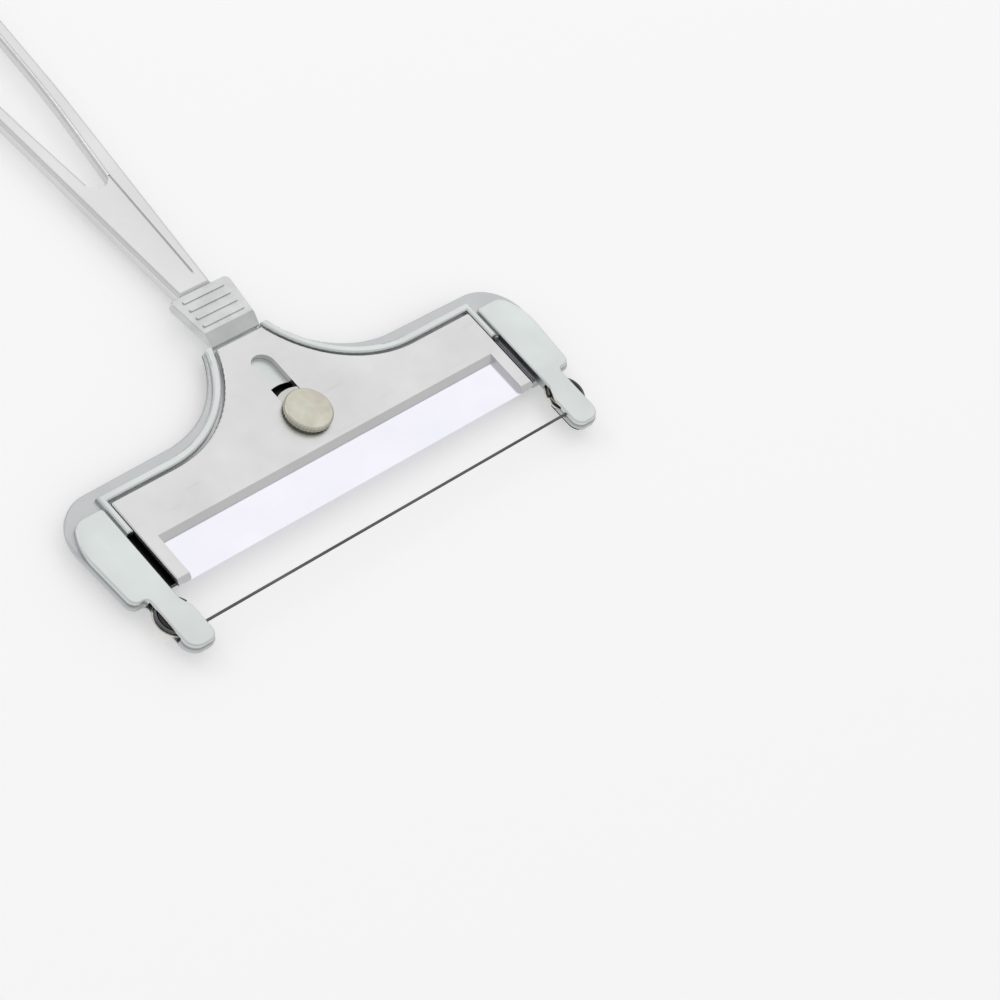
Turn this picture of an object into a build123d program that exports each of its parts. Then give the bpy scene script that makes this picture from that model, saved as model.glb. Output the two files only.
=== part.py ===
from build123d import *
import os
from math import cos, radians, sin

# Adjustable wire cheese slicer, lying on its back.
# X runs along the cutting wire, +Y towards the handle's end, +Z up, all in millimetres.
# Sketches are drawn on levels whose own origin is the middle of the cutting wire's line,
# at a height counted from the top face of the adjusting plate.

# Driving dimensions
overall_length = 205.0
overall_width = 124.0
arm_width = 12.0
wire_diameter = 0.6
frame_back = 35.1
frame_depth = 4.8

# Plan of the frame, counted from the wire's line
tip_overhang = 4.5
tip_width = 7.5
tip_outer_radius = 3.2
tip_inner_radius = 2.6
shoulder_gap = 0.35
shoulder_radius = 2.0
shoulder_foot_radius = 1.0
side_taper = 1.0
side_taper_length = 15.2
arm_step = 1.6
arm_step_front = 3.5
arm_step_length = 3.0
arm_step_radius = 1.5
floor_length = 7.3
crossbar_corner_radius = 0.8
frame_back_drop = 0.8
frame_corner_radius = 9.8
bell_radius = 24.2
bell_start_half = 6.8

# Levels of the frame, counted from the plate's top face
pad_height = 0.2
flange_top_depth = 0.9
flange_bottom_depth = 1.8
pan_depth = 2.6
rim_width = 1.7
rim_side_width = 1.5
rim_height = 0.12
rim_edge_radius = 0.45
pad_inset = 0.35
pad_back_inset = 4.5
pad_back_taper = 3.0
pad_back_radius = 3.6
pad_bend_radius = 12.0
pad_inner_radius = 0.8
pad_edge_radius = 0.4
flange_edge_radius = 0.35
keel_inset = 0.1
keel_width = 3.4
keel_front_gap = 1.2
keel_corner_radius = 1.2
ledge_width = 4.0
ledge_thickness = 1.4
ledge_gap = 0.2

# Adjusting plate
plate_thickness = 1.2
plate_inset = 5.1
plate_side_gap = 0.7
plate_bell_radius = 28.3
plate_neck_half = 4.5
plate_neck_gap = 0.8
plate_clearance = 0.6
plate_side_clearance = 0.2
plate_edge_radius = 0.35
slide_gap = 0.05
leg_width = 3.2
window_length = 9.6
window_margin = 3.2
window_bevel = 1.4
window_bevel_drop = 0.9
leg_nose = 0.9
leg_nose_drop = 0.7
plate_corner_radius = 0.6
slot_half = 2.85
slot_length = 13.6

# Sole strip under the plate's window
sole_thickness = 0.6
sole_lead = 0.1
sole_gap = 0.3
sole_lap = 2.4
sole_corner_radius = 0.8
rivet_radius = 0.8
rivet_height = 0.7
rivet_leg_setback = 3.1
rivet_rear_half = 22.0
rivet_clearance = 0.02

# Thumb screw, its washer and its threaded guide bush
screw_setback = 2.8
slot_front_gap = 0.25
screw_head_radius = 5.2
screw_head_height = 1.1
screw_edge_radius = 0.5
flute_count = 40
flute_radius = 0.22
screw_radius = 2.0
screw_tip_gap = 0.2
washer_radius = 4.4
washer_thickness = 0.5
bush_radius = 2.75
boss_radius = 4.4
boss_depth = 3.9
boss_wall = 1.2
block_radius = 6.7
block_seat_gap = 0.05
bed_recess_half = 3.6
bed_recess_lap = 0.5
bed_recess_radius = 8.8
bed_recess_depth = 2.8
bush_top_depth = 0.1
running_clearance = 0.05
press_clearance = 0.02

# Tension wheels in slits of the arm tips, and the wire's way round them
wheel_inset = 3.15
wheel_flange_radius = 4.6
wheel_flange_thickness = 0.45
wheel_edge = 0.1
wheel_gap = 0.05
wheel_pocket_gap = 0.1
wheel_pocket_depth = 0.25
wrap_radius = 3.95
wire_wrap_turn = 250.0
wire_hole_clearance = 0.05
axle_radius = 1.6
axle_overhang = 0.4
driver_slot_width = 0.9
driver_slot_depth = 0.5

# Neck sleeve with its two pins
neck_length = 14.3
sleeve_length = 12.6
sleeve_front_half = 6.4
sleeve_back_half = 8.0
sleeve_bottom_depth = 3.8
sleeve_side_depth = 0.9
sleeve_under_inset = 0.1
sleeve_under_taper = 2.3
sleeve_height = 1.0
sleeve_ramp_length = 2.9
sleeve_ramp_drop = 1.3
sleeve_corner_radius = 1.2
sleeve_edge_radius = 0.3
rib_count = 4
rib_width = 0.8
rib_height = 0.3
rib_margin = 1.6
border_width = 0.8
pocket_half = 3.3
pocket_height = 1.75
pocket_top_depth = 1.2
pocket_clearance = 0.04
tongue_length = 6.0
tongue_root = 1.5
tongue_gap = 0.4
pin_radius = 1.0
pin_roof = 0.7
pin_margin = 2.4

# Handle loop
handle_thickness = 3.0
handle_top_height = 0.1
handle_gap = 0.3
tang_half = 3.2
handle_start_half = 4.5
handle_swell_half = 9.0
handle_widest_half = 11.0
handle_swell_share = 0.405
handle_widest_share = 0.753
handle_bend_radius = 200.0
handle_edge_radius = 1.1
loop_bar = 3.6
loop_front_share = 0.222
loop_front_half = 2.4
loop_front_radius = 2.2
panel_front_margin = 3.3
panel_overlap = 1.6
panel_back_margin = 1.0
panel_side_margin = 1.9
panel_depth = 0.35
panel_corner_radius = 0.9

# Places worked out from the sizes above
right_angle = 90
overrun = 1.0
plate_top = frame_depth
side_half = overall_width / 2
tip_inner_half = side_half - arm_width
tip_outer_half = tip_inner_half + tip_width
wheel_half = tip_outer_half - wheel_inset
arm_inner_half = tip_inner_half + arm_step
wire_y = tip_overhang - overall_length / 2
wire_radius = wire_diameter / 2
plate_back = frame_back - plate_inset
crossbar_front = plate_back - floor_length
window_back = crossbar_front - window_margin
leg_front = window_back - window_length
leg_tip = leg_front - leg_nose
sole_front = leg_tip - sole_lead
sole_back = crossbar_front - sole_gap
screw_back = plate_back - screw_setback
slot_front = screw_back - slot_front_gap
slot_back = slot_front + slot_length
hub_radius = wrap_radius - wire_radius - wheel_gap
wheel_back = wrap_radius
pocket_radius = wheel_flange_radius + wheel_pocket_gap
shoulder_back = wheel_back + wheel_flange_radius + shoulder_gap
wheel_top_depth = wheel_pocket_depth + wheel_gap
wire_depth = wheel_top_depth + wire_radius
flange_seat_depth = wire_depth + wire_radius + wheel_gap
wheel_bottom_depth = flange_seat_depth + wheel_flange_thickness
side_bend_back = shoulder_back + side_taper_length
plate_half_width = tip_inner_half - plate_side_gap
window_half = plate_half_width - leg_width
sole_half = window_half + sole_lap
bed_depth = plate_thickness + slide_gap
recess_half = plate_half_width + plate_side_clearance
rim_half = recess_half + rim_side_width
rim_back = plate_back + plate_clearance + rim_width
neck_top = plate_back + plate_bell_radius + overrun
wire_z = plate_top - wire_depth
keel_inner_half = arm_inner_half + keel_inset
keel_outer_half = keel_inner_half + keel_width
keel_front = shoulder_back + keel_front_gap
keel_foot_half = rim_half - rim_side_width / 2
sleeve_front = frame_back + neck_length
sleeve_back = sleeve_front + sleeve_length
neck_mouth = wire_y + sleeve_front - slide_gap
plate_neck_end = sleeve_front - plate_neck_gap
tongue_end = sleeve_front + tongue_length
tang_start = tongue_end + tongue_gap
screw_seat = slide_gap + washer_thickness
handle_start = sleeve_back + handle_gap
handle_end = overall_length - tip_overhang
handle_length = handle_end - handle_start
handle_swell_y = handle_start + handle_length * handle_swell_share
handle_widest_y = handle_start + handle_length * handle_widest_share
loop_front = handle_start + handle_length * loop_front_share


# Upright plane along the middle: its first axis runs back from the wire, its second up
side_view = Plane(origin=(0, wire_y, plate_top), x_dir=(0, 1, 0), z_dir=(1, 0, 0))


def level(height):
    """Horizontal plane at a height over the plate's top, centred on the wire's line."""
    return Plane(origin=(0, wire_y, plate_top + height))


def corner_at(sketch, x, y):
    """Corner of a sketch nearest to a place on its own plane."""
    return sketch.vertices().sort_by_distance(Vector(x, y, 0))[0]


def half_outline(points, rounds):
    """Closed outline of the right half with each named corner rounded, then mirrored."""
    with BuildSketch() as half:
        with BuildLine():
            Polyline(*points, close=True)
        make_face()
        for x, y, radius in rounds:
            fillet(corner_at(half, x, y), radius)
        mirror(about=Plane.YZ)
    return half.sketch


def arm_points(inset, back):
    """Corners of the right arm's plan, drawn in from the frame's edge by an inset."""
    side_front = side_half - side_taper - inset
    return [
        (arm_inner_half, back),
        (side_half - inset, back),
        (side_half - inset, side_bend_back),
        (side_front, shoulder_back + inset),
        (tip_outer_half - inset, shoulder_back + inset),
        (tip_outer_half - inset, inset - tip_overhang),
        (tip_inner_half + inset, inset - tip_overhang),
        (tip_inner_half + inset, arm_step_front),
        (arm_inner_half, arm_step_front + arm_step_length),
    ]


def arm_rounds(inset):
    """Rounded corners of the arm's front half, as places with radii."""
    points = arm_points(inset, frame_back)
    radii = (
        shoulder_radius,
        shoulder_foot_radius,
        tip_outer_radius - inset,
        tip_inner_radius - inset,
        arm_step_radius,
        arm_step_radius,
    )
    return [(x, y, radius) for (x, y), radius in zip(points[3:], radii)]


def frame_outline():
    """Whole outer contour of the frame: bell, rear corners and both arms."""
    arm = arm_points(0, frame_back - frame_back_drop)
    points = [
        (0, neck_top),
        (bell_start_half, neck_top),
        (bell_start_half, frame_back),
        *arm[1:],
        (arm_inner_half, crossbar_front),
        (0, crossbar_front),
    ]
    rounds = [
        (bell_start_half, frame_back, bell_radius),
        (*arm[1], frame_corner_radius),
        *arm_rounds(0),
        (arm_inner_half, crossbar_front, crossbar_corner_radius),
    ]
    return half_outline(points, rounds)


def bell_outline(grow, half_width, front):
    """Bell shape of the plate, or of the space round it, grown outwards by a margin."""
    radius = plate_bell_radius - grow
    neck_half = plate_neck_half + grow
    back = plate_back + grow
    points = [
        (0, neck_top),
        (neck_half, neck_top),
        (neck_half, back),
        (half_width, back),
        (half_width, front),
        (0, front),
    ]
    return half_outline(points, [(neck_half, back, radius)])


def pad_outline():
    """Flat raised top of the right arm."""
    inner_corner, outer_corner, *front = arm_points(pad_inset, frame_back - frame_back_drop)
    pad_back = outer_corner[1] - pad_back_inset
    back_corner = (outer_corner[0] - pad_back_taper, pad_back)
    root_corner = (inner_corner[0], pad_back)
    with BuildSketch() as pad:
        with BuildLine():
            Polyline(root_corner, back_corner, *front, close=True)
        make_face()
        for x, y, radius in arm_rounds(pad_inset):
            fillet(corner_at(pad, x, y), radius)
        fillet(corner_at(pad, *front[0]), pad_bend_radius)
        fillet(corner_at(pad, *back_corner), pad_back_radius)
        fillet(corner_at(pad, *root_corner), pad_inner_radius)
    return pad.sketch


def rivet_places():
    """Centres of the four rivets through the strip: one in each leg, two behind the window."""
    leg_half = (window_half + sole_half) / 2
    leg_y = leg_front + rivet_leg_setback
    rear_y = (window_back + sole_back) / 2
    return [
        (-leg_half, leg_y),
        (leg_half, leg_y),
        (-rivet_rear_half, rear_y),
        (rivet_rear_half, rear_y),
    ]


def arm_pad():
    """Raised flat top of the right arm, with a softened edge."""
    with BuildPart() as pad:
        with BuildSketch(level(-flange_bottom_depth)):
            add(pad_outline())
        extrude(amount=flange_bottom_depth + pad_height)
        fillet(pad.faces().sort_by(Axis.Z)[-1].edges(), pad_edge_radius)
    return pad.part


def arm_keel():
    """Stiffening keel under the right arm, turning in to the pan, with a ledge under the leg."""
    with BuildPart() as keel:
        with BuildSketch(level(-frame_depth)) as plan:
            with BuildLine():
                Polyline(
                    (keel_foot_half, crossbar_front),
                    (keel_inner_half, crossbar_front),
                    (keel_inner_half, keel_front),
                    (keel_outer_half, keel_front),
                    (keel_outer_half, rim_back),
                    (keel_foot_half, rim_back),
                    close=True,
                )
            make_face()
            fillet(corner_at(plan, keel_inner_half, keel_front), keel_corner_radius)
            fillet(corner_at(plan, keel_outer_half, keel_front), keel_corner_radius)
            fillet(corner_at(plan, keel_outer_half, rim_back), keel_corner_radius)
        extrude(amount=frame_depth - flange_bottom_depth)
        ledge_top_depth = plate_thickness + sole_thickness + ledge_gap
        with BuildSketch(level(-ledge_top_depth - ledge_thickness)):
            with Locations((keel_inner_half - ledge_width / 2, (keel_front + crossbar_front) / 2)):
                Rectangle(ledge_width + 2 * keel_inset, crossbar_front - keel_front)
        extrude(amount=ledge_thickness)
    return keel.part


def wheel_way(side, radius):
    """Round place for a tension wheel's part, open towards the outer side of the arm."""
    with BuildSketch() as way:
        with Locations((side * wheel_half, wheel_back)):
            Circle(radius)
        with Locations((side * (wheel_half + side_half) / 2, wheel_back)):
            Rectangle(side_half - wheel_half, 2 * radius)
    return way.sketch


# Shallow pan that the adjusting plate lies in; its edge stands up as a rounded rim
with BuildPart() as pan:
    with BuildSketch(level(-pan_depth)):
        add(bell_outline(plate_clearance + rim_width, rim_half, crossbar_front))
        with Locations((0, sleeve_front + overall_length / 2)):
            Rectangle(overall_width, overall_length, mode=Mode.SUBTRACT)
    extrude(amount=pan_depth + rim_height)
    with BuildSketch(level(-bed_depth)):
        add(bell_outline(plate_clearance, recess_half, crossbar_front - overrun))
    extrude(amount=bed_depth + rim_height, mode=Mode.SUBTRACT)
    rim_edges = pan.faces().filter_by(Axis.Z).sort_by(Axis.Z)[-2:].edges()
    fillet(rim_edges.filter_by_position(Axis.Y, wire_y, neck_mouth), rim_edge_radius)

# Frame: flat flange with the pan, a pad and a keel on each arm, and a tongue for the sleeve
with BuildPart() as frame:
    with BuildSketch(level(-flange_bottom_depth)):
        add(frame_outline())
        with Locations((0, sleeve_front + overall_length / 2)):
            Rectangle(overall_width, overall_length, mode=Mode.SUBTRACT)
    extrude(amount=flange_bottom_depth - flange_top_depth)
    fillet(frame.faces().sort_by(Axis.Z)[-1].edges(), flange_edge_radius)
    with BuildSketch(level(-flange_bottom_depth)):
        add(bell_outline(plate_clearance + rim_width / 2, keel_foot_half, crossbar_front - overrun))
    extrude(amount=flange_bottom_depth, mode=Mode.SUBTRACT)
    add(pan.part)
    add(arm_keel())
    add(mirror(arm_keel(), about=Plane.YZ, mode=Mode.PRIVATE))
    add(arm_pad())
    add(mirror(arm_pad(), about=Plane.YZ, mode=Mode.PRIVATE))
    with BuildSketch(level(-pocket_top_depth - pocket_height + pocket_clearance)):
        with Locations((0, (sleeve_front - tongue_root + tongue_end) / 2)):
            Rectangle(2 * (pocket_half - pocket_clearance), tongue_end - sleeve_front + tongue_root)
    extrude(amount=pocket_height - 2 * pocket_clearance)
    with BuildSketch(level(-frame_depth)):
        with Locations((0, tongue_end - pin_margin)):
            Circle(pin_radius + press_clearance)
    extrude(amount=frame_depth, mode=Mode.SUBTRACT)
    with BuildSketch(level(-boss_depth)):
        with Locations((0, screw_back)):
            Circle(boss_radius)
        with Locations((0, screw_back + (bed_recess_radius + boss_wall) / 2)):
            Rectangle(2 * (bed_recess_half + boss_wall), bed_recess_radius + boss_wall)
    extrude(amount=boss_depth - pan_depth)
    with BuildSketch(level(-bed_recess_depth)):
        with Locations((0, screw_back)):
            Circle(bed_recess_radius)
        with Locations((0, screw_back + bed_recess_radius / 2)):
            Rectangle(2 * bed_recess_half, bed_recess_radius, mode=Mode.INTERSECT)
        with Locations((0, screw_back)):
            Circle(block_radius - bed_recess_lap, mode=Mode.SUBTRACT)
    extrude(amount=bed_recess_depth - bed_depth, mode=Mode.SUBTRACT)
    with BuildSketch(level(-frame_depth)):
        with Locations((0, screw_back)):
            Circle(bush_radius + press_clearance)
    extrude(amount=frame_depth, mode=Mode.SUBTRACT)
    wheel_way_depth = wheel_bottom_depth + wheel_gap
    with BuildSketch(level(-wheel_way_depth)):
        for side in (-1, 1):
            add(wheel_way(side, pocket_radius))
    extrude(amount=wheel_way_depth - wheel_pocket_depth, mode=Mode.SUBTRACT)
    with BuildSketch(level(-frame_depth)):
        for side in (-1, 1):
            add(wheel_way(side, axle_radius + running_clearance))
    extrude(amount=frame_depth - wheel_bottom_depth, mode=Mode.SUBTRACT)
    with BuildSketch(Plane(origin=(0, wire_y, wire_z), z_dir=(1, 0, 0))):
        Circle(wire_radius + wire_hole_clearance)
    extrude(amount=wheel_half, both=True, mode=Mode.SUBTRACT)
frame.part.label = "frame"

# Adjusting plate with its window and its slot
with BuildPart() as adjusting_plate:
    window_edge = window_back - window_bevel
    with BuildSketch(level(-plate_thickness)) as plate_plan:
        add(bell_outline(0, plate_half_width, leg_tip))
        with Locations((0, plate_neck_end + overall_length / 2)):
            Rectangle(overall_width, overall_length, mode=Mode.SUBTRACT)
        with Locations((0, (leg_tip - overrun + window_edge) / 2)):
            Rectangle(2 * window_half, window_edge - leg_tip + overrun, mode=Mode.SUBTRACT)
        for side in (-1, 1):
            fillet(corner_at(plate_plan, side * plate_half_width, plate_back), plate_corner_radius)
    extrude(amount=plate_thickness)
    top_edges = adjusting_plate.faces().sort_by(Axis.Z)[-1].edges()
    back_edges = top_edges.filter_by_position(Axis.Y, wire_y + crossbar_front, overall_length)
    side_edges = top_edges.sort_by(Axis.X)
    fillet([*back_edges, side_edges[0], side_edges[-1]], plate_edge_radius)
    with BuildSketch(side_view) as bevel:
        with BuildLine():
            Polyline((window_edge, 0), (window_back, 0), (window_edge, -window_bevel_drop), close=True)
        make_face()
    extrude(amount=window_half, both=True, mode=Mode.SUBTRACT)
    with BuildSketch(side_view) as nose:
        with BuildLine():
            Polyline((leg_tip, 0), (leg_front, 0), (leg_tip, -leg_nose_drop), close=True)
        make_face()
    extrude(amount=plate_half_width, both=True, mode=Mode.SUBTRACT)
    with BuildSketch(level(-plate_thickness)):
        with Locations((0, (slot_front + slot_back) / 2)):
            SlotCenterToCenter(slot_back - slot_front, 2 * slot_half, rotation=right_angle)
    extrude(amount=plate_thickness, mode=Mode.SUBTRACT)
    with BuildSketch(level(-plate_thickness)):
        with Locations(*rivet_places()):
            Circle(rivet_radius + rivet_clearance)
    extrude(amount=rivet_height, mode=Mode.SUBTRACT)
adjusting_plate.part.label = "adjusting_plate"

# Polished strip that closes the window from below
with BuildPart() as sole_strip:
    with BuildSketch(level(-plate_thickness - sole_thickness)) as sole_plan:
        with Locations((0, (sole_front + sole_back) / 2)):
            Rectangle(2 * sole_half, sole_back - sole_front)
        fillet(sole_plan.vertices(), sole_corner_radius)
        with Locations(*rivet_places()):
            Circle(rivet_radius + rivet_clearance, mode=Mode.SUBTRACT)
    extrude(amount=sole_thickness)
sole_strip.part.label = "sole_strip"

# Flush rivets that hold the strip to the plate from below, one group
with BuildPart() as sole_rivets:
    with BuildSketch(level(-plate_thickness - sole_thickness)):
        with Locations(*rivet_places()):
            Circle(rivet_radius)
    extrude(amount=sole_thickness + rivet_height)
sole_rivets.part.label = "sole_rivets"

# Threaded guide bush, pressed into the frame's boss; its tail fills the front of the slot
with BuildPart() as guide_bush:
    with BuildSketch(level(-boss_depth)):
        with Locations((0, screw_back)):
            Circle(bush_radius)
            Circle(screw_radius + running_clearance, mode=Mode.SUBTRACT)
    extrude(amount=boss_depth - bush_top_depth)
    with BuildSketch(level(block_seat_gap - bed_depth)):
        with Locations((0, screw_back)):
            Circle(block_radius)
        with Locations((0, screw_back + block_radius / 2)):
            Rectangle(2 * bush_radius, block_radius, mode=Mode.INTERSECT)
        with Locations((0, screw_back)):
            Circle(screw_radius + running_clearance, mode=Mode.SUBTRACT)
    extrude(amount=bed_depth - block_seat_gap - bush_top_depth)
guide_bush.part.label = "guide_bush"

# Washer under the thumb screw's head
with BuildPart() as clamp_washer:
    with BuildSketch(level(slide_gap)):
        with Locations((0, screw_back)):
            Circle(washer_radius)
            Circle(screw_radius + running_clearance, mode=Mode.SUBTRACT)
    extrude(amount=washer_thickness)
clamp_washer.part.label = "clamp_washer"

# Thumb screw with a fluted, slightly crowned head
with BuildPart() as thumb_screw:
    with BuildSketch(level(screw_seat)):
        with Locations((0, screw_back)):
            Circle(screw_head_radius)
    extrude(amount=screw_head_height)
    fillet(thumb_screw.faces().sort_by(Axis.Z)[-1].edges(), screw_edge_radius)
    with BuildSketch(level(screw_seat)):
        with Locations((0, screw_back)):
            with PolarLocations(screw_head_radius + flute_radius / 2, flute_count):
                Circle(flute_radius)
    extrude(amount=screw_head_height, mode=Mode.SUBTRACT)
    with BuildSketch(level(screw_tip_gap - boss_depth)):
        with Locations((0, screw_back)):
            Circle(screw_radius)
    extrude(amount=boss_depth - screw_tip_gap + screw_seat)
thumb_screw.part.label = "thumb_screw"


def tension_wheel(side):
    """Flanged wheel that the wire is wound on, turned from below by its slotted axle."""
    center = (side * wheel_half, wheel_back)
    axle_bottom_depth = flange_bottom_depth + axle_overhang
    with BuildPart() as wheel:
        with BuildSketch(level(-wheel_bottom_depth)):
            with Locations(center):
                Circle(wheel_flange_radius)
        extrude(amount=wheel_flange_thickness)
        chamfer(wheel.edges(), wheel_edge)
        with BuildSketch(level(-flange_seat_depth)):
            with Locations(center):
                Circle(hub_radius)
        extrude(amount=flange_seat_depth - wheel_top_depth)
        with BuildSketch(level(-axle_bottom_depth)):
            with Locations(center):
                Circle(axle_radius)
        extrude(amount=axle_bottom_depth - wheel_bottom_depth)
        with BuildSketch(level(-axle_bottom_depth)):
            with Locations(center):
                Rectangle(2 * (axle_radius + overrun), driver_slot_width)
        extrude(amount=driver_slot_depth, mode=Mode.SUBTRACT)
    return wheel.part


def wrap_place(side, turn):
    """Place on the wire's loop after a turn about the wheel, counted from where it meets it."""
    return (
        side * (wheel_half + wrap_radius * sin(radians(turn))),
        wire_y + wheel_back - wrap_radius * cos(radians(turn)),
        wire_z,
    )


# Cutting wire: one taut run between the arm tips and an open loop round each wheel's hub
with BuildPart() as cutting_wire:
    with BuildLine() as wire_path:
        for side in (-1, 1):
            Line((0, wire_y, wire_z), wrap_place(side, 0))
            ThreePointArc(
                wrap_place(side, 0),
                wrap_place(side, wire_wrap_turn / 2),
                wrap_place(side, wire_wrap_turn),
            )
    path = wire_path.wires()[0]
    with BuildSketch(Plane(origin=path @ 0, z_dir=path % 0)):
        Circle(wire_radius)
    sweep(path=path)
cutting_wire.part.label = "cutting_wire"

# Neck sleeve: tapering block with a sloping nose, plain ribs on top and a through pocket
with BuildPart() as neck_sleeve:
    with BuildSketch(level(-sleeve_side_depth)) as sleeve_plan:
        with BuildLine():
            Polyline(
                (-sleeve_front_half, sleeve_front),
                (sleeve_front_half, sleeve_front),
                (sleeve_back_half, sleeve_back),
                (-sleeve_back_half, sleeve_back),
                close=True,
            )
        make_face()
        for side in (-1, 1):
            fillet(corner_at(sleeve_plan, side * sleeve_back_half, sleeve_back), sleeve_corner_radius)
    extrude(amount=sleeve_side_depth + sleeve_height)
    nose_edge = neck_sleeve.faces().sort_by(Axis.Z)[-1].edges().filter_by(Axis.X).sort_by(Axis.Y)[0]
    nose_face = neck_sleeve.faces().sort_by(Axis.Z)[-1]
    chamfer(nose_edge, sleeve_ramp_length, sleeve_ramp_drop, reference=nose_face)
    rim_edges = neck_sleeve.faces().sort_by(Axis.Z)[-1].edges()
    fillet(rim_edges, sleeve_edge_radius)
    under_half = sleeve_front_half - sleeve_under_inset
    bottom_half = under_half - sleeve_under_taper
    front_plane = Plane(origin=(0, wire_y + sleeve_front, plate_top), x_dir=(1, 0, 0), z_dir=(0, -1, 0))
    with BuildSketch(front_plane):
        with BuildLine():
            Polyline(
                (-under_half, -sleeve_side_depth),
                (under_half, -sleeve_side_depth),
                (bottom_half, -sleeve_bottom_depth),
                (-bottom_half, -sleeve_bottom_depth),
                close=True,
            )
        make_face()
    extrude(amount=-sleeve_length)
    with BuildSketch(level(-pocket_top_depth - pocket_height)):
        with Locations((0, (sleeve_front + sleeve_back) / 2)):
            Rectangle(2 * pocket_half, sleeve_length + 2 * overrun)
    extrude(amount=pocket_height, mode=Mode.SUBTRACT)
    with BuildSketch(level(sleeve_height)):
        ribs_front = sleeve_front + sleeve_ramp_length + rib_margin
        ribs_back = sleeve_back - rib_margin
        for number in range(rib_count):
            rib_y = ribs_front + (ribs_back - ribs_front) * number / (rib_count - 1)
            with Locations((0, rib_y)):
                SlotOverall(2 * (sleeve_front_half - border_width), rib_width)
    extrude(amount=rib_height)
    with BuildSketch(level(-sleeve_bottom_depth)):
        for pin_y in (tongue_end - pin_margin, tang_start + pin_margin):
            with Locations((0, pin_y)):
                Circle(pin_radius + press_clearance)
    extrude(amount=sleeve_bottom_depth + sleeve_height - pin_roof, mode=Mode.SUBTRACT)
neck_sleeve.part.label = "neck_sleeve"


def neck_pin(y):
    """Pin driven from below through the sleeve and what it holds."""
    with BuildPart() as pin:
        with BuildSketch(level(-sleeve_bottom_depth)):
            with Locations((0, y)):
                Circle(pin_radius)
        extrude(amount=sleeve_bottom_depth + sleeve_height - pin_roof - press_clearance)
    return pin.part


def loop_outline(points, rounds, end_y):
    """Closed outline from the front to a round far end, its corners rounded, then mirrored."""
    with BuildSketch() as half:
        with BuildLine():
            Polyline(*points)
            TangentArc(points[-1], (0, end_y), tangent=(0, 1))
            Line((0, end_y), points[0])
        make_face()
        for x, y, radius in rounds:
            fillet(corner_at(half, x, y), radius)
        mirror(about=Plane.YZ)
    return half.sketch


# Handle: flat tang, recessed neck, then a widening loop with an open middle
with BuildPart() as handle:
    end_center = handle_end - handle_widest_half
    inner_half = handle_widest_half - loop_bar
    inner_swell_half = handle_swell_half - loop_bar
    outer_points = [
        (0, handle_start),
        (handle_start_half, handle_start),
        (handle_swell_half, handle_swell_y),
        (handle_widest_half, handle_widest_y),
        (handle_widest_half, end_center),
    ]
    outer_rounds = [(*point, handle_bend_radius) for point in outer_points[2:4]]
    inner_points = [
        (0, loop_front),
        (loop_front_half, loop_front),
        (inner_swell_half, handle_swell_y),
        (inner_half, handle_widest_y),
        (inner_half, end_center),
    ]
    inner_rounds = [(*point, handle_bend_radius) for point in inner_points[2:4]]
    inner_rounds.append((loop_front_half, loop_front, loop_front_radius))
    with BuildSketch(level(handle_top_height - handle_thickness)):
        add(loop_outline(outer_points, outer_rounds, handle_end))
        add(loop_outline(inner_points, inner_rounds, handle_end - loop_bar), mode=Mode.SUBTRACT)
    extrude(amount=handle_thickness)
    flat_faces = handle.faces().filter_by(Axis.Z)
    fillet(flat_faces.edges(), handle_edge_radius)
    panel_front_half = handle_start_half - panel_side_margin
    panel_back = loop_front + panel_overlap
    panel_back_half = loop_front_half + panel_back_margin
    with BuildSketch(level(handle_top_height - panel_depth)) as panel:
        with BuildLine():
            Polyline(
                (-panel_front_half, handle_start + panel_front_margin),
                (panel_front_half, handle_start + panel_front_margin),
                (panel_back_half, panel_back),
                (-panel_back_half, panel_back),
                close=True,
            )
        make_face()
        fillet(panel.vertices().sort_by(Axis.Y)[:2], panel_corner_radius)
    extrude(amount=panel_depth + overrun, mode=Mode.SUBTRACT)
    tang_height = handle_thickness - handle_top_height - pocket_top_depth - pocket_clearance
    with BuildSketch(level(handle_top_height - handle_thickness)):
        with Locations((0, (tang_start + handle_start + overrun) / 2)):
            Rectangle(2 * tang_half, handle_start + overrun - tang_start)
    extrude(amount=tang_height)
    with BuildSketch(level(handle_top_height - handle_thickness)):
        with Locations((0, tang_start + pin_margin)):
            Circle(pin_radius + press_clearance)
    extrude(amount=tang_height, mode=Mode.SUBTRACT)
handle.part.label = "handle"

os.makedirs("parts", exist_ok=True)
for piece in (
    frame,
    adjusting_plate,
    sole_strip,
    sole_rivets,
    guide_bush,
    clamp_washer,
    thumb_screw,
    cutting_wire,
    neck_sleeve,
    handle,
):
    export_step(piece.part, f"parts/{piece.part.label}.step")

for name, side in (("left", -1), ("right", 1)):
    wheel = tension_wheel(side)
    wheel.label = f"tension_wheel_{name}"
    export_step(wheel, f"parts/{wheel.label}.step")

for name, y in (("front", tongue_end - pin_margin), ("rear", tang_start + pin_margin)):
    pin = neck_pin(y)
    pin.label = f"neck_pin_{name}"
    export_step(pin, f"parts/{pin.label}.step")
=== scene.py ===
import bpy
from mathutils import Matrix, Vector

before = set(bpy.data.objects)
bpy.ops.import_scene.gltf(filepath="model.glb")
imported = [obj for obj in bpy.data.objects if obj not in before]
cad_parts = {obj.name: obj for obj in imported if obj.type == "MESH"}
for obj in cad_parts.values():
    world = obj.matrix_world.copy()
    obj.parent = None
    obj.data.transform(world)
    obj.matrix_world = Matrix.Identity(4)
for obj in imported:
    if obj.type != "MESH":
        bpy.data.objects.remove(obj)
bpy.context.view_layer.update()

MM = 0.001

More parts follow.
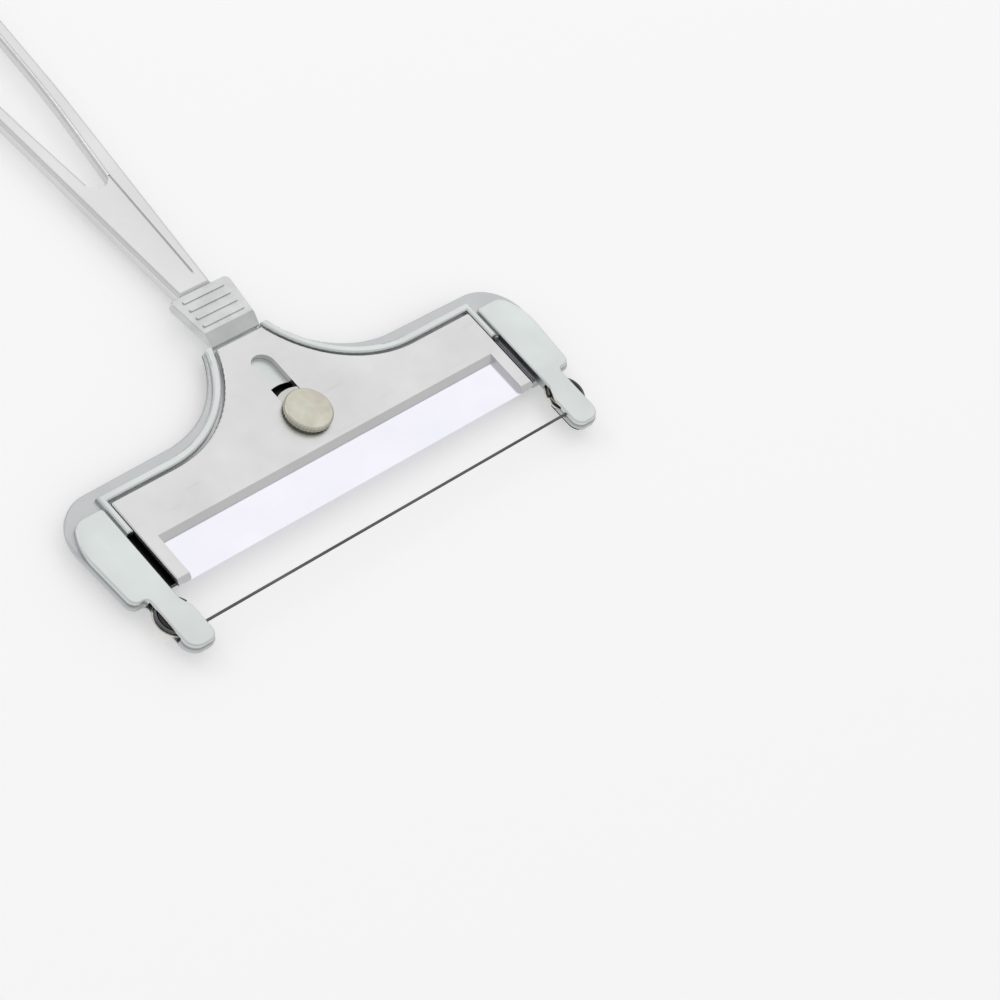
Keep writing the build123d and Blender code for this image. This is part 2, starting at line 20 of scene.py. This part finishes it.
# The photograph's camera, solved from the slicer's own edges, in the frame of the model
CAMERA_PLACE = (-0.3641, -0.2688, 0.4742)
CAMERA_RIGHT = (0.680, -0.652, 0.334)
CAMERA_UP = (0.401, 0.713, 0.575)
CAMERA_LENS = 113.3
CAMERA_SENSOR = 36.0
CAMERA_NEAR = 0.01

# Lines of the slicer that the painted-shade masks follow: heights above the table, distances from its
# middle
PLATE_TOP_MM = 4.8
STEP_MM = PLATE_TOP_MM - 0.5
DEEP_MM = PLATE_TOP_MM - 1.5
PLATE_SIDE_FOOT_MM = PLATE_TOP_MM - 0.9
HUB_FOOT_MM = PLATE_TOP_MM - 0.85
NECK_HALF_MM = 8.0
PLATE_SIDE_HALF_MM = 49.1
ARM_INNER_HALF_MM = 51.15
MASK_BLEND_MM = 0.05

# Patterns on the metals: which band of a cloudy pattern counts, and how it is shaped
CLOUD_BAND = (0.35, 0.65)
SHEEN_BAND = (0.3, 0.7)
SHEEN_TO_CLOUD = 0.4
SCRATCH_BAND = (0.66, 0.72)
SCRATCH_MM = 0.5
SCRATCH_DETAIL = 2.0
SCRATCH_LEAN = (0, 0, 0.5)
SCRATCH_STRETCH = (0.04, 1, 1)
GRAIN_DETAIL = 4.0
GRAIN_ROUGHNESS = 0.6

# Stage: floor, surround and lamps
FLOOR_HALF = 1.5
FLOOR_GLOW = 0.345
SURROUND_STRENGTH = 0.66
LAMP_TARGET = (0, 0, 0)


def linear(hex_colour):
    """Turns an sRGB hex colour into the linear value that the shaders want."""
    channels = [int(hex_colour[i:i + 2], 16) / 255 for i in (1, 3, 5)]
    return [c / 12.92 if c <= 0.04045 else ((c + 0.055) / 1.055) ** 2.4 for c in channels] + [1.0]


def add_node(tree, kind, links=None, **settings):
    """Adds a node with its settings; a link's value is a socket, anything else a plain value."""
    node = tree.nodes.new(kind)
    for name, value in settings.items():
        setattr(node, name, value)
    for name, value in (links or {}).items():
        socket = node.inputs[name]
        if isinstance(value, bpy.types.NodeSocket):
            tree.links.new(value, socket)
        else:
            socket.default_value = value
    return node


def new_material(name):
    """Empty material, ready for a shader."""
    material = bpy.data.materials.new(name)
    material.use_nodes = True
    material.node_tree.nodes.clear()
    return material, material.node_tree


def noise(tree, place, size_mm, detail=3.0, roughness=0.55):
    """Cloudy pattern whose features are about one real size across."""
    node = add_node(tree, "ShaderNodeTexNoise", {
        "Vector": place, "Scale": 1 / (size_mm * MM), "Detail": detail, "Roughness": roughness})
    return node.outputs["Fac"]


def spread(tree, value, low, high, bottom, top):
    """Stretches a band of a pattern over a range of values."""
    node = add_node(tree, "ShaderNodeMapRange", {
        "Value": value, "From Min": low, "From Max": high, "To Min": bottom, "To Max": top})
    return node.outputs["Result"]


def work_out(tree, operation, first, second=0.0, **settings):
    """Result of a sum, a product or the like."""
    node = add_node(tree, "ShaderNodeMath", {0: first, 1: second}, operation=operation, **settings)
    return node.outputs["Value"]


def past(tree, place, axis, limit_mm, low=0.0, high=1.0):
    """Mask that goes from low to high where the distance along an axis passes a limit."""
    parts = add_node(tree, "ShaderNodeSeparateXYZ", {"Vector": place})
    away = work_out(tree, "ABSOLUTE", parts.outputs[axis])
    return spread(tree, away, (limit_mm - MASK_BLEND_MM) * MM, (limit_mm + MASK_BLEND_MM) * MM, low, high)


def frame_step_shade(tree, place):
    """Lower step of the frame, all round the raised pads and rim, which gets a greyer painted shade."""
    below = past(tree, place, "Z", STEP_MM, 1.0, 0.0)
    return work_out(tree, "MULTIPLY", below, past(tree, place, "X", NECK_HALF_MM))


def frame_depths_shade(tree, place):
    """Deep parts of the frame between its arms: inner walls, ledges, the hollow behind the bush, which
    get a dark painted shade.
    """
    below = past(tree, place, "Z", DEEP_MM, 1.0, 0.0)
    return work_out(tree, "MULTIPLY", below, past(tree, place, "X", ARM_INNER_HALF_MM, 1.0, 0.0))


def plate_side_shade(tree, place):
    """Foot of the plate's outer side faces, in the gaps beside the arms, which gets a dark painted shade.
    """
    below = past(tree, place, "Z", PLATE_SIDE_FOOT_MM, 1.0, 0.0)
    return work_out(tree, "MULTIPLY", below, past(tree, place, "X", PLATE_SIDE_HALF_MM))


def wheel_hub_shade(tree, place):
    """Hubs of the tension wheels, above their flanges, which get a dark painted shade."""
    return past(tree, place, "Z", HUB_FOOT_MM)


def metal(name, colour, stain, roughness, drift, grain_mm, grain_depth_mm,
          cloud_mm=18.0, stretch=(1, 1, 1), scratch=0.0, painted_shades=()):
    """Bare metal: a base tone that clouds over to a stain, a drifting sheen and a fine relief."""
    material, tree = new_material(name)
    place = add_node(tree, "ShaderNodeTexCoord").outputs["Object"]
    drawn = add_node(tree, "ShaderNodeMapping", {"Vector": place, "Scale": stretch}).outputs["Vector"]
    tone = add_node(tree, "ShaderNodeMixRGB", {
        "Fac": spread(tree, noise(tree, place, cloud_mm), *CLOUD_BAND, 0.0, 1.0),
        "Color1": linear(colour), "Color2": linear(stain)})
    for shade_colour, mask in painted_shades:
        # Painted shade: a darker colour on the faces that a mask picks out
        tone = add_node(tree, "ShaderNodeMixRGB", {
            "Fac": mask(tree, place), "Color1": tone.outputs["Color"], "Color2": linear(shade_colour)})
    sheen = spread(tree, noise(tree, place, cloud_mm * SHEEN_TO_CLOUD), *SHEEN_BAND,
                   roughness - drift / 2, roughness + drift / 2)
    if scratch:
        # Hairline marks: thin slanting streaks that are a little duller than the face
        lean = add_node(tree, "ShaderNodeMapping", {
            "Vector": place, "Rotation": SCRATCH_LEAN, "Scale": SCRATCH_STRETCH}).outputs["Vector"]
        streaks = noise(tree, lean, SCRATCH_MM, SCRATCH_DETAIL)
        marks = spread(tree, streaks, *SCRATCH_BAND, 0.0, scratch)
        sheen = work_out(tree, "ADD", sheen, marks)
    relief = add_node(tree, "ShaderNodeBump", {
        "Height": noise(tree, drawn, grain_mm, GRAIN_DETAIL, GRAIN_ROUGHNESS),
        "Strength": 1.0, "Distance": grain_depth_mm * MM})
    surface = add_node(tree, "ShaderNodeBsdfPrincipled", {
        "Base Color": tone.outputs["Color"], "Metallic": 1.0, "Roughness": sheen,
        "Normal": relief.outputs["Normal"]})
    add_node(tree, "ShaderNodeOutputMaterial", {"Surface": surface.outputs["BSDF"]})
    return material


def dress(material, *nodes):
    """Gives a material to the named pieces."""
    for name in nodes:
        mesh = bpy.data.objects[name].data
        mesh.materials.clear()
        mesh.materials.append(material)


def soft_light(name, place, size, power, target=LAMP_TARGET):
    """Square lamp that faces a point."""
    lamp = bpy.data.lights.new(name, "AREA")
    lamp.size = size
    lamp.energy = power
    thing = bpy.data.objects.new(name, lamp)
    thing.location = place
    thing.rotation_euler = (Vector(target) - Vector(place)).to_track_quat("-Z", "Y").to_euler()
    bpy.context.scene.collection.objects.link(thing)


# Tumbled cast alloy of the frame: soft satin, a little greenish, with faint clouds; the lower
# step gets a greyer painted shade and the deep faces a dark painted shade, so that the gaps read as black
cast = metal("tumbled_cast_alloy", "#dfe5e2", "#d6dad9", roughness=0.36, drift=0.08,
             grain_mm=0.30, grain_depth_mm=0.0035,
             painted_shades=(("#c6c8ca", frame_step_shade), ("#2c2c2e", frame_depths_shade)))
# Satin plate: a shade more neutral than the frame, with the odd hairline mark; the feet of its
# side faces get a dark painted shade, so that they sink into the gaps
plate = metal("satin_cast_plate", "#e0e0e0", "#d8d8d8", roughness=0.34, drift=0.08,
              grain_mm=0.30, grain_depth_mm=0.0030, scratch=0.10, painted_shades=(("#303032", plate_side_shade),))
# Polished steel sheet: the brightest face, drawn along the wire's direction; its faint lilac tint is a
# painted reflection of lilac-tinted light
sole = metal("polished_steel_sheet", "#f1eff8", "#ebebf4", roughness=0.17, drift=0.04,
             grain_mm=0.22, grain_depth_mm=0.0006, stretch=(0.05, 1, 1), scratch=0.06)
# Dull nickel plating of the thumb screw, with small tarnished patches; its warm tint is a painted
# reflection of yellow cheese
nickel = metal("dull_nickel_plating", "#d2d1c2", "#c6c1b4", roughness=0.33, drift=0.14,
               grain_mm=0.25, grain_depth_mm=0.0020, cloud_mm=4.0)
# Drawn steel wire: darker and fairly dull, so that it reads as a thin dark line
wire = metal("drawn_steel_wire", "#707073", "#5f5f62", roughness=0.38, drift=0.08,
             grain_mm=0.15, grain_depth_mm=0.0010, stretch=(0.1, 1, 1))
# Tension wheels: bright turned flanges under hubs with a dark painted shade, which read as dark strips by
# the arms
wheel_steel = metal("wheel_steel_painted_hub_shade", "#e4e2da", "#dad8d0", roughness=0.25, drift=0.08,
                    grain_mm=0.20, grain_depth_mm=0.0010, cloud_mm=3.0, painted_shades=(("#38383a", wheel_hub_shade),))
# Satin alloy of the neck sleeve: a step darker and more clouded from handling
sleeve = metal("handled_satin_alloy", "#dcdddd", "#cfd0d0", roughness=0.37, drift=0.10,
               grain_mm=0.30, grain_depth_mm=0.0040, cloud_mm=6.0)
# Buffed handle: smooth, with wide soft clouds and hairline marks, so that it mirrors the softbox
bar = metal("buffed_handle_alloy", "#e0e0e1", "#d9d9da", roughness=0.25, drift=0.06,
            grain_mm=0.25, grain_depth_mm=0.0010, cloud_mm=30.0, scratch=0.08)
# Plain turned steel of the washer, bush, rivets and pins: neutral and a little dull
steel = metal("plain_turned_steel", "#cfcfcc", "#c2c2bf", roughness=0.32, drift=0.08,
              grain_mm=0.20, grain_depth_mm=0.0012, cloud_mm=5.0)

dress(cast, "frame")
dress(plate, "adjusting_plate")
dress(sole, "sole_strip")
dress(nickel, "thumb_screw")
dress(wire, "cutting_wire")
dress(wheel_steel, "tension_wheel_left", "tension_wheel_right")
dress(sleeve, "neck_sleeve")
dress(bar, "handle")
dress(steel, "sole_rivets", "guide_bush", "clamp_washer", "neck_pin_front", "neck_pin_rear")

# Floor: a wide pale sheet under the slicer, lifted to near white for the eye, its shadow kept
floor_mesh = bpy.data.meshes.new("floor")
floor_corners = [(x * FLOOR_HALF, y * FLOOR_HALF, 0) for x, y in ((-1, -1), (1, -1), (1, 1), (-1, 1))]
floor_mesh.from_pydata(floor_corners, [], [(0, 1, 2, 3)])
floor = bpy.data.objects.new("floor", floor_mesh)
bpy.context.scene.collection.objects.link(floor)
floor_paint, tree = new_material("matt_white_floor")
plain = add_node(tree, "ShaderNodeBsdfPrincipled", {"Base Color": linear("#e2e2e2"), "Roughness": 0.9})
ray = add_node(tree, "ShaderNodeLightPath").outputs
straight = work_out(tree, "ADD", ray["Is Camera Ray"], ray["Is Glossy Ray"], use_clamp=True)
seen = work_out(tree, "ADD", straight, ray["Is Transmission Ray"], use_clamp=True)
glow = add_node(tree, "ShaderNodeEmission", {
    "Color": linear("#ffffff"), "Strength": work_out(tree, "MULTIPLY", seen, FLOOR_GLOW)})
both = add_node(tree, "ShaderNodeAddShader", {0: plain.outputs["BSDF"], 1: glow.outputs["Emission"]})
add_node(tree, "ShaderNodeOutputMaterial", {"Surface": both.outputs["Shader"]})
floor_mesh.materials.append(floor_paint)

# World: soft grey surround of a studio tent
world = bpy.data.worlds.new("studio")
bpy.context.scene.world = world
world.use_nodes = True
tree = world.node_tree
tree.nodes.clear()
surround = add_node(tree, "ShaderNodeBackground", {
    "Color": linear("#ffffff"), "Strength": SURROUND_STRENGTH})
add_node(tree, "ShaderNodeOutputWorld", {"Surface": surround.outputs["Background"]})

# Wide softbox opposite the camera: the flat faces mirror it and turn light
soft_light("softbox", (0.62, 0.46, 0.74), size=1.0, power=1.25, target=(0, 0.02, 0))
# Softbox on the near side: lights the slopes and side faces that look to the left
soft_light("near_box", (-0.75, 0.35, 0.55), size=0.6, power=0.12)
# Smaller lamp from the handle's side: gives the edges a thin bright line and the steps a shadow
soft_light("edge_lamp", (-0.35, 0.75, 0.75), size=0.35, power=0.8)

camera_data = bpy.data.cameras.new("camera")
camera_data.lens = CAMERA_LENS
camera_data.sensor_width = CAMERA_SENSOR
camera_data.clip_start = CAMERA_NEAR
camera = bpy.data.objects.new("camera", camera_data)
right = Vector(CAMERA_RIGHT).normalized()
back = right.cross(Vector(CAMERA_UP)).normalized()
up = back.cross(right)
camera.matrix_world = Matrix.Translation(CAMERA_PLACE) @ Matrix((right, up, back)).transposed().to_4x4()
bpy.context.scene.collection.objects.link(camera)
bpy.context.scene.camera = camera
bpy.context.scene.view_settings.view_transform = "Standard"
